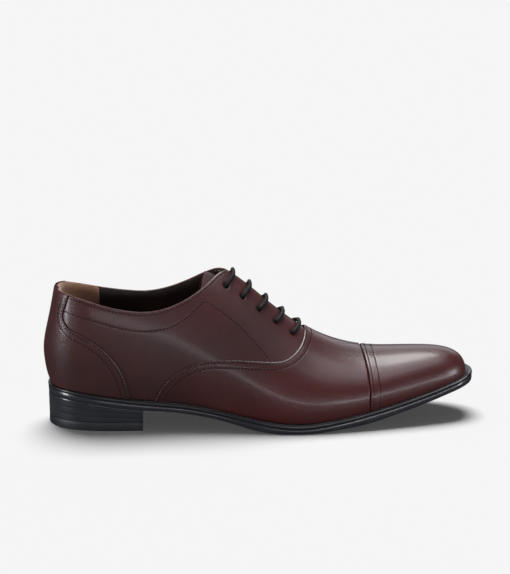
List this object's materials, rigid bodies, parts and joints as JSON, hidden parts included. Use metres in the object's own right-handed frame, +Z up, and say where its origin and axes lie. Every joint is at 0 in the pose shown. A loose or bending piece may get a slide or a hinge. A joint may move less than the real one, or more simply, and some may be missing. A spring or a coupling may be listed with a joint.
{
  "type": "oxford shoe",
  "caption": "Cap-toe oxford dress shoe in dark burgundy leather with closed lacing, black welted leather sole and stacked heel.",
  "frame": {"origin": "centre of the footprint, on the ground under the sole", "axes": "+X from heel to toe, +Y to the inner (medial) side of the right foot, +Z up"},
  "size_m": [0.3078, 0.103, 0.1099],
  "materials": {
    "burgundy_leather": "polished dark burgundy calf leather, semi-gloss",
    "dark_lining": "smooth dark brown lining leather",
    "tan_suede": "matt tan-brown suede",
    "black_edge": "black inked and waxed sole leather edge, glossy",
    "black_rubber": "black rubber, satin",
    "black_lace": "round waxed black cotton cord",
    "black_plastic": "glossy black lace tip",
    "brass": "plain brass, hidden under the facing",
    "steel": "plain spring steel",
    "cork": "ground cork filler",
    "leather_board": "pale brown leather board",
    "canvas": "stiffened natural canvas"
  },
  "bodies": {
    "shoe": {"toe_cap": "burgundy_leather", "vamp": "burgundy_leather", "counter_cover": "burgundy_leather", "quarter_lateral": "burgundy_leather", "quarter_medial": "burgundy_leather", "vamp_interlining": "canvas", "toe_puff": "canvas", "heel_stiffener": "leather_board", "facing_stay_lateral": "canvas", "facing_stay_medial": "canvas", "vamp_lining": "dark_lining", "quarter_lining_lateral": "dark_lining", "quarter_lining_medial": "dark_lining", "heel_grip_lining": "tan_suede", "welt": "black_edge", "outsole": "black_edge", "cork_filler_front": "cork", "cork_filler_heel": "cork", "shank": "steel", "insole_board": "leather_board", "sock_lining": "dark_lining", "heel_top_lift": "black_rubber", "heel_lift_1": "black_edge", "heel_lift_2": "black_edge", "heel_lift_3": "black_edge", "lace": "black_lace", "aglet_lateral": "black_plastic", "aglet_medial": "black_plastic", "eyelet_lateral_1": "brass", "eyelet_lateral_2": "brass", "eyelet_lateral_3": "brass", "eyelet_lateral_4": "brass", "eyelet_lateral_5": "brass", "eyelet_medial_1": "brass", "eyelet_medial_2": "brass", "eyelet_medial_3": "brass", "eyelet_medial_4": "brass", "eyelet_medial_5": "brass"},
    "tongue": {"tongue": "burgundy_leather", "tongue_lining": "dark_lining"}
  },
  "joints": [
    {"name": "tongue_fold", "type": "hinge", "parent": "shoe", "child": "tongue", "pos_m": [0.0305, 0.0011, 0.052], "axis": [0, -1, 0], "range_deg": [0, 12], "stiffness_Nm_per_rad": 0.2, "springref_deg": -2.86}
  ]
}
